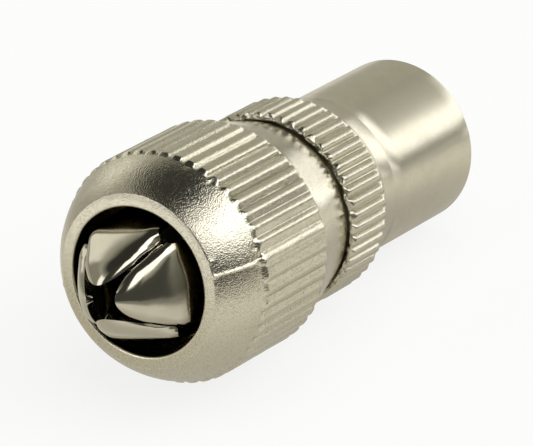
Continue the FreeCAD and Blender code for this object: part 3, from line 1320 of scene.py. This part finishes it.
@dataclass(frozen=True)
class Surface:
    """A finish of the plug: plated metal, or plastic where metallic is 0.

    base is the clean colour, and shade_and_tarnish_colour that of the painted shade in the hollows
    and of the tarnish patches. The roughness runs from one value to the other between patches.
    rings are what a lathe tool leaves, and pit_shade is how dark the pits of the grain are.
    Lengths are in millimetres.
    """

    name: str
    base: Colour
    shade_and_tarnish_colour: Colour
    roughness: Pair
    grain_per_mm: float
    grain_depth: float
    rings_per_mm: float = 0.0
    ring_depth: float = 0.0
    pit_shade: float = 0.0
    metallic: float = 1.0

    def make(self, effects: Effects, placing: Placing) -> bpy.types.Material:
        """Make the material.

        Args:
            effects: the shared shader groups.
            placing: where the plug lies, so that the pattern follows it.

        Returns:
            The material.
        """
        material = bpy.data.materials.new(self.name)
        material.use_nodes = True
        graph = Graph(material.node_tree)
        vector = plug_coordinates(graph, placing)
        polish = graph.add("ShaderNodeAttribute", attribute_name="polish").outputs["Fac"]
        hollow = graph.add("ShaderNodeAttribute", attribute_name="hollow").outputs["Fac"]
        depth = graph.spread(polish, self.grain_depth, 0.0)
        grain = graph.group(effects.grain, {"Vector": vector, "Per mm": self.grain_per_mm, "Depth": depth})
        height = grain["Height"]
        if self.ring_depth:
            inputs = {"Vector": vector, "Per mm": self.rings_per_mm, "Depth": self.ring_depth}
            height = graph.math("ADD", height, graph.group(effects.turning, inputs)["Height"])
        inputs = {
            "Metal": self.base,
            "Shade_and_tarnish_tone": self.shade_and_tarnish_colour,
            "Hollow": hollow,
            "Patches": grain["Patches"],
            "Pits": graph.math("MULTIPLY", grain["Pits"], self.pit_shade),
        }
        colour = graph.group(effects.shade_and_tarnish, inputs)["Color"]
        bump = graph.add("ShaderNodeBump", {"Height": height, "Distance": MM, "Strength": 1.0})
        inputs = {
            "Base Color": colour,
            "Roughness": graph.spread(grain["Patches"], *self.roughness),
            "Metallic": self.metallic,
            "Normal": bump.outputs["Normal"],
        }
        shader = graph.add("ShaderNodeBsdfPrincipled", inputs)
        graph.add("ShaderNodeOutputMaterial", {"Surface": shader.outputs[0]})
        return material


def direction(heading: float, height: float) -> Vector:
    """Return the unit vector towards a heading and a height above the level, both in degrees.

    Heading 0 is towards -Y, the plug's long near side, and 90 is towards +X.
    """
    turn, rise = math.radians(heading), math.radians(height)
    return Vector((math.sin(turn) * math.cos(rise), -math.cos(turn) * math.cos(rise), math.sin(rise)))


@dataclass(frozen=True)
class Panel:
    """A soft-edged rectangle of the surroundings, as the plug's metal reflects it.

    headings and heights are its two edges in degrees, soft is how wide its edges fade and glow is
    its brightness.
    """

    headings: Pair
    heights: Pair
    soft: float
    glow: Tone

    def share(self, graph: Graph, heading: object, height: object) -> bpy.types.NodeSocket:
        """Work out how much of the panel is seen.

        Args:
            graph: the nodes to add to.
            heading: the heading that is looked at, in radians.
            height: the height above the level that is looked at, in radians.

        Returns:
            The share: 1 inside the panel and 0 outside.
        """
        middle = math.radians(sum(self.headings) / 2)
        away = graph.math("SUBTRACT", heading, middle)
        wrapped = graph.add("ShaderNodeMath", {0: away, 1: math.pi, 2: -math.pi}, operation="WRAP")
        across = self.fade(graph, wrapped.outputs[0], self.headings[1] - self.headings[0])
        raised = graph.math("SUBTRACT", height, math.radians(sum(self.heights) / 2))
        return graph.math("MULTIPLY", across, self.fade(graph, raised, self.heights[1] - self.heights[0]))

    def fade(self, graph: Graph, away: object, size: float) -> bpy.types.NodeSocket:
        """Return 1 within half the size of the middle, fading to 0 past it."""
        edges = (math.radians((size - self.soft) / 2), math.radians((size + self.soft) / 2))
        return graph.fade(graph.math("ABSOLUTE", away, 0.0), *edges)


@dataclass(frozen=True)
class Viewpoint:
    """The camera that sees the plug as the photograph does."""

    aim: tuple[float, float, float] = (-0.01346, 0.00026, 0.00046)
    heading: float = -57.24
    height: float = 27.13
    away: float = 0.285
    focal_pixels: float = 5200.0
    image_width: float = 533.0

    def add(self) -> None:
        """Add the camera and make it the scene's."""
        data = bpy.data.cameras.new("photo_camera")
        data.lens = self.focal_pixels / self.image_width * data.sensor_width
        data.clip_start = 0.01
        data.clip_end = 10.0
        camera = bpy.data.objects.new("photo_camera", data)
        out = direction(self.heading, self.height)
        camera.location = Vector(self.aim) + out * self.away
        camera.rotation_euler = out.to_track_quat("Z", "Y").to_euler()
        bpy.context.scene.collection.objects.link(camera)
        bpy.context.scene.camera = camera


@dataclass(frozen=True)
class Pool:
    """A soft round painted on the table in metres for the metal to reflect: light where bright, shadow where
    dim.
    """

    centre: Pair
    radius: float
    soft: float
    glow: Tone

    def share(self, graph: Graph, place: bpy.types.NodeSocket) -> bpy.types.NodeSocket:
        """Return how much of the pool is seen at a place: 1 inside it and 0 outside."""
        away = graph.add("ShaderNodeVectorMath", {0: place, 1: (*self.centre, 0.0)}, operation="DISTANCE")
        return graph.fade(away.outputs["Value"], self.radius - self.soft, self.radius + self.soft)


@dataclass
class Studio:
    """The plain pale surroundings: a white table, and soft panels for the metal to reflect."""

    table_radius: float = 0.18
    table_tone: Tone = (0.28, 0.27, 0.23)
    table_white: float = 0.82
    lamp_power: float = 1.0
    lamp_size: float = 0.5
    lamp_height: float = 0.5
    # painted light and shadow on the table, seen only in reflections: the dim pools near the plug are its
    # painted shadows, the bright ones painted pools of light
    painted_lights_and_shadows: tuple[Pool, ...] = (
        Pool((0.085, 0.05), 0.16, 0.012, (0.79, 0.765, 0.67)),
        Pool((-0.023, 0.0), 0.013, 0.008, (0.55, 0.53, 0.46)),
        Pool((-0.008, -0.003), 0.016, 0.009, (0.50, 0.48, 0.42)),
        Pool((0.095, -0.006), 0.064, 0.004, (0.34, 0.33, 0.28)),
        Pool((0.095, -0.008), 0.050, 0.006, (1.8, 1.77, 1.7)),
        Pool((-0.010, 0.070), 0.045, 0.018, (0.46, 0.44, 0.37)),
        Pool((-0.085, 0.030), 0.035, 0.012, (1.2, 1.17, 1.1)),
        Pool((-0.038, 0.010), 0.011, 0.008, (0.50, 0.47, 0.38)),
    )
    sky: tuple[tuple[float, Tone], ...] = (
        (-90, (0.26, 0.26, 0.22)),
        (-1, (0.13, 0.13, 0.11)),
        (5, (0.20, 0.20, 0.16)),
        (16, (0.42, 0.41, 0.34)),
        (40, (0.42, 0.41, 0.34)),
        (52, (0.04, 0.04, 0.033)),
    )
    panels: tuple[Panel, ...] = (
        Panel((104, 142), (-2, 34), 8, (0.46, 0.45, 0.37)),
        Panel((138, 226), (-2, 34), 8, (0.32, 0.31, 0.25)),
        Panel((144, 172), (6, 34), 10, (1.0, 0.98, 0.87)),
        Panel((-106, -62), (18, 66), 8, (0.05, 0.05, 0.042)),
        Panel((-104, -16), (-8, 28), 8, (0.07, 0.07, 0.06)),
        Panel((-60, 5), (-8, 19), 5, (0.07, 0.07, 0.06)),
        Panel((-136, -106), (2, 38), 6, (1.5, 1.48, 1.42)),
        Panel((-15, 58), (27, 62), 5, (2.3, 2.27, 2.2)),
        Panel((-58, -10), (31, 62), 5, (1.9, 1.87, 1.82)),
        Panel((51, 98), (5, 22), 3, (1.85, 1.82, 1.75)),
        Panel((72, 98), (-7, 8), 4, (1.2, 1.17, 1.1)),
    )

    def background_share(self, graph: Graph, rays: Sequence[str]) -> bpy.types.NodeSocket:
        """Tell the rays that see the plain background from the others.

        Args:
            graph: the nodes to add to.
            rays: the Light Path outputs of those rays.

        Returns:
            1 for those rays and 0 for the others.
        """
        path = graph.add("ShaderNodeLightPath")
        share = path.outputs[rays[0]]
        for name in rays[1:]:
            share = graph.math("MAXIMUM", share, path.outputs[name])
        return share

    def add_table(self, level: float) -> None:
        """Add the round white table top.

        Args:
            level: the height of its surface in metres.
        """
        mesh = bmesh.new()
        bmesh.ops.create_circle(mesh, cap_ends=True, radius=self.table_radius, segments=96)
        bmesh.ops.translate(mesh, vec=(0.0, 0.0, level), verts=mesh.verts)
        data = bpy.data.meshes.new("table_top")
        mesh.to_mesh(data)
        mesh.free()
        table = bpy.data.objects.new("table_top", data)
        bpy.context.scene.collection.objects.link(table)
        material = bpy.data.materials.new("white_table")
        material.use_nodes = True
        graph = Graph(material.node_tree)
        paint = graph.add("ShaderNodeBsdfDiffuse", {"Color": (0.95, 0.95, 0.95, 1.0)})
        white = graph.add("ShaderNodeEmission", {"Color": WHITE, "Strength": 1.0})
        place = graph.add("ShaderNodeTexCoord").outputs["Object"]
        colour = graph.add("ShaderNodeRGB").outputs["Color"]
        colour.default_value = (*self.table_tone, 1.0)
        # the table that reflections see glows with its painted pools of light and painted shadows
        for pool in self.painted_lights_and_shadows:
            colour = graph.mix(pool.share(graph, place), colour, (*pool.glow, 1.0))
        seen = graph.add("ShaderNodeEmission", {"Color": colour, "Strength": 1.0})
        camera = graph.math("MULTIPLY", self.background_share(graph, ("Is Camera Ray",)), self.table_white)
        mirrored = self.background_share(graph, ("Is Glossy Ray", "Is Transmission Ray"))
        floor = graph.add("ShaderNodeMixShader", {0: camera, 1: paint.outputs[0], 2: white.outputs[0]})
        mix = graph.add("ShaderNodeMixShader", {0: mirrored, 1: floor.outputs[0], 2: seen.outputs[0]})
        graph.add("ShaderNodeOutputMaterial", {"Surface": mix.outputs[0]})
        data.materials.append(material)
        table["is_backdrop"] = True

    def add_lamp(self, centre: Vector) -> None:
        """Add the overhead lamp that lights the table and the plastic, but isn't mirrored in metal.

        Args:
            centre: the middle of the plug.
        """
        data = bpy.data.lights.new("overhead", "AREA")
        data.shape = "DISK"
        data.size = self.lamp_size
        data.energy = self.lamp_power
        lamp = bpy.data.objects.new("overhead", data)
        lamp.location = centre + Vector((0.0, 0.0, self.lamp_height))
        lamp.visible_glossy = False
        lamp.visible_camera = False
        bpy.context.scene.collection.objects.link(lamp)

    def add_sky(self) -> None:
        """Give the world its tones: white for the camera, and the studio's panels in reflections."""
        world = bpy.data.worlds.new("studio")
        world.use_nodes = True
        bpy.context.scene.world = world
        graph = Graph(world.node_tree)
        seen = graph.add("ShaderNodeTexCoord").outputs["Generated"]
        split = graph.add("ShaderNodeSeparateXYZ", {"Vector": seen}).outputs
        height = graph.math("ARCSINE", split["Z"], 0.0)
        heading = graph.math("ARCTAN2", split["X"], graph.math("MULTIPLY", split["Y"], -1.0))
        inputs = {"Value": height, "From Min": -math.pi / 2, "From Max": math.pi / 2}
        share = graph.add("ShaderNodeMapRange", inputs).outputs["Result"]
        ramp = graph.add("ShaderNodeValToRGB", {"Fac": share})
        elements = ramp.color_ramp.elements
        elements.remove(elements[1])
        for number, (angle, tone) in enumerate(self.sky):
            at = (angle + 90) / 180
            element = elements[0] if number == 0 else elements.new(at)
            element.position = at
            element.color = (*tone, 1.0)
        colour = ramp.outputs["Color"]
        for panel in self.panels:
            colour = graph.mix(panel.share(graph, heading, height), colour, (*panel.glow, 1.0))
        studio = graph.add("ShaderNodeBackground", {"Color": colour, "Strength": 1.0})
        white = graph.add("ShaderNodeBackground", {"Color": WHITE, "Strength": 1.0})
        fac = self.background_share(graph, ("Is Camera Ray",))
        mix = graph.add("ShaderNodeMixShader", {0: fac, 1: studio.outputs[0], 2: white.outputs[0]})
        graph.add("ShaderNodeOutputWorld", {"Surface": mix.outputs[0]})

    def set_up(self, low: Vector, high: Vector) -> None:
        """Build the whole studio round the plug.

        Args:
            low: the lowest corner of the plug's box.
            high: its highest corner.
        """
        self.add_table(low.z)
        self.add_sky()
        self.add_lamp((low + high) / 2)
        bpy.context.scene.view_settings.view_transform = "Standard"


# SHADE is the olive painted shade of grooves, hollows and the cap's bore, and the colour of the tarnish
# patches; CLAW_INSIDE_SHADE is the painted shade of the claw inside the mouth
SHADE = (0.38, 0.37, 0.24, 1.0)
CLAW_INSIDE_SHADE = (0.16, 0.13, 0.07, 1.0)
CREAM = (0.66, 0.62, 0.50, 1.0)
SURFACES = {
    Finish.CAST: Surface(
        name="cast_nickel",
        base=(0.75, 0.715, 0.605, 1.0),
        shade_and_tarnish_colour=SHADE,
        roughness=(0.14, 0.22),
        grain_per_mm=13.0,
        grain_depth=0.024,
        pit_shade=1.5,
    ),
    Finish.PRESSED: Surface(
        name="polished_nickel",
        base=(0.66, 0.63, 0.54, 1.0),
        shade_and_tarnish_colour=CLAW_INSIDE_SHADE,
        roughness=(0.08, 0.15),
        grain_per_mm=3.0,
        grain_depth=0.0015,
    ),
    Finish.TURNED: Surface(
        name="satin_nickel",
        base=(0.71, 0.68, 0.575, 1.0),
        shade_and_tarnish_colour=SHADE,
        roughness=(0.21, 0.28),
        grain_per_mm=14.0,
        grain_depth=0.012,
        rings_per_mm=9.0,
        ring_depth=0.0015,
        pit_shade=0.5,
    ),
    Finish.BRIGHT: Surface(
        name="bright_nickel",
        base=(0.60, 0.57, 0.47, 1.0),
        shade_and_tarnish_colour=SHADE,
        roughness=(0.12, 0.22),
        grain_per_mm=8.0,
        grain_depth=0.001,
        rings_per_mm=12.0,
        ring_depth=0.001,
    ),
    Finish.MOULDED: Surface(
        name="cream_plastic",
        base=(0.80, 0.78, 0.70, 1.0),
        shade_and_tarnish_colour=CREAM,
        roughness=(0.35, 0.5),
        grain_per_mm=7.0,
        grain_depth=0.004,
        metallic=0.0,
    ),
}
PARTS = (ClampingCap(), CableClaw(), PlugBody(), Insulator(), CentrePin())


def main() -> None:
    """Build the plug's pieces and its studio round the imported model's box, and log each piece's faces."""
    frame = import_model()
    low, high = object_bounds()
    placing = Placing.from_record(frame["record"])
    effects = Effects()
    materials = {finish: surface.make(effects, placing) for finish, surface in SURFACES.items()}
    for part in PARTS:
        piece = part.build(placing)
        piece.data.materials.append(materials[part.finish])
        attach(piece, part.body)
        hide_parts(part.node)
        log.info("%s: %d faces", piece.name, len(piece.data.polygons))
    Studio().set_up(low, high)
    Viewpoint().add()


if __name__ == "__main__":
    logging.basicConfig(level=logging.INFO, format="%(name)s: %(message)s")
    main()
